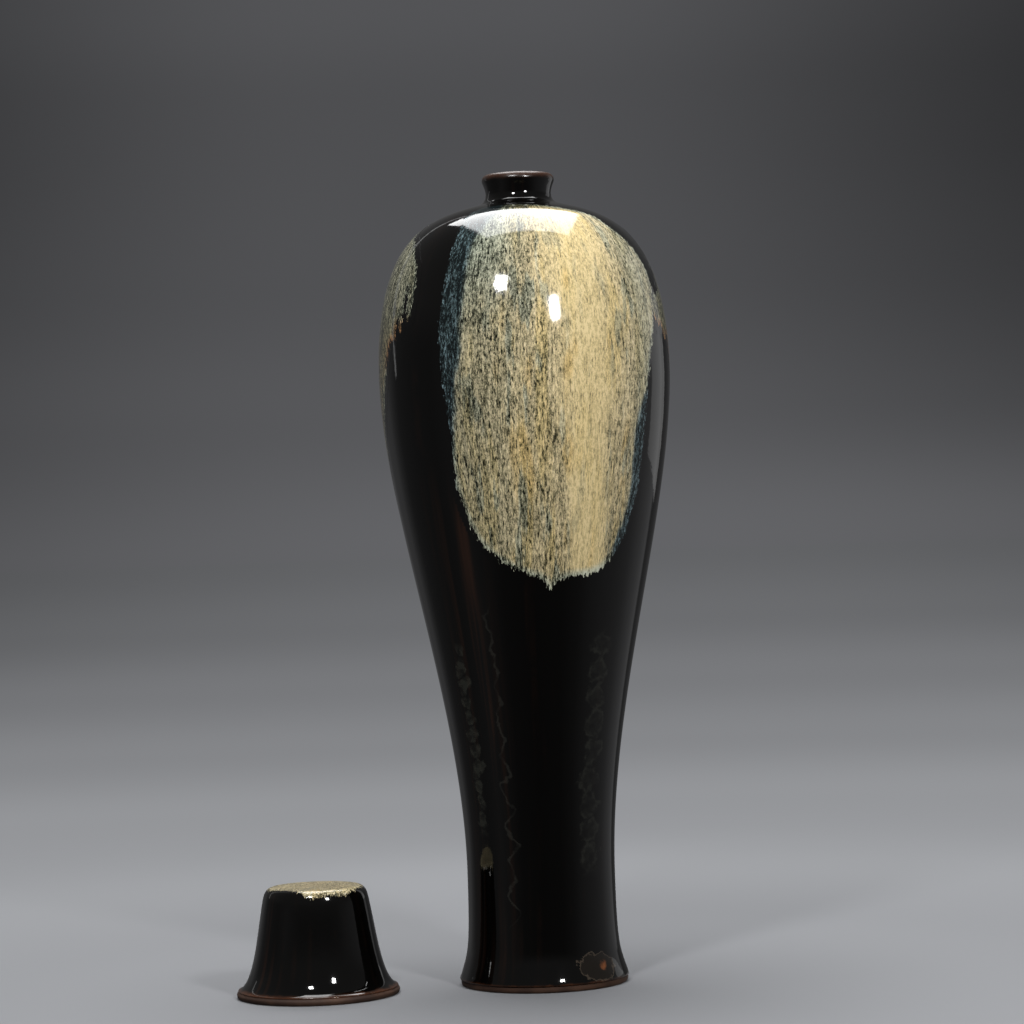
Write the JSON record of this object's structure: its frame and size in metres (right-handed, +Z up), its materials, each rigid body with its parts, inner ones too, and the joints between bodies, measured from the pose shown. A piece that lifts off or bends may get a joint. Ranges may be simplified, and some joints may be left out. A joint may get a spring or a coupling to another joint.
{
  "type": "meiping vase",
  "caption": "Tall high-shouldered vase with a small neck, tapered body, splashed glaze and a hollow bell-shaped cap standing beside it.",
  "frame": {"origin": "the middle of the vase's foot, on the surface that it stands on", "axes": "+Z up along the vase's axis, -Y towards the main splash (the pictured side), and -X towards the cap"},
  "size_m": [0.2349, 0.1517, 0.4215],
  "materials": {
    "stoneware": "bare fired clay, brown, matt",
    "black_glaze": "thick glossy black glaze, brown where it thins",
    "splash_glaze": "glossy cream splash glaze with fine dark and blue streaks"
  },
  "bodies": {
    "vase": {"lower_body": "stoneware", "upper_body": "stoneware", "neck_and_mouth": "stoneware", "body_glaze": "black_glaze", "front_splash": "splash_glaze", "left_splash": "splash_glaze", "right_splash": "splash_glaze"},
    "cap": {"cap_bell": "stoneware", "cap_glaze": "black_glaze", "cap_splash": "splash_glaze"}
  },
  "joints": [
    {"name": "cap_lift", "type": "slide", "parent": "vase", "child": "cap", "axis": [0, 0, 1], "range_m": [0, 0.45]}
  ]
}
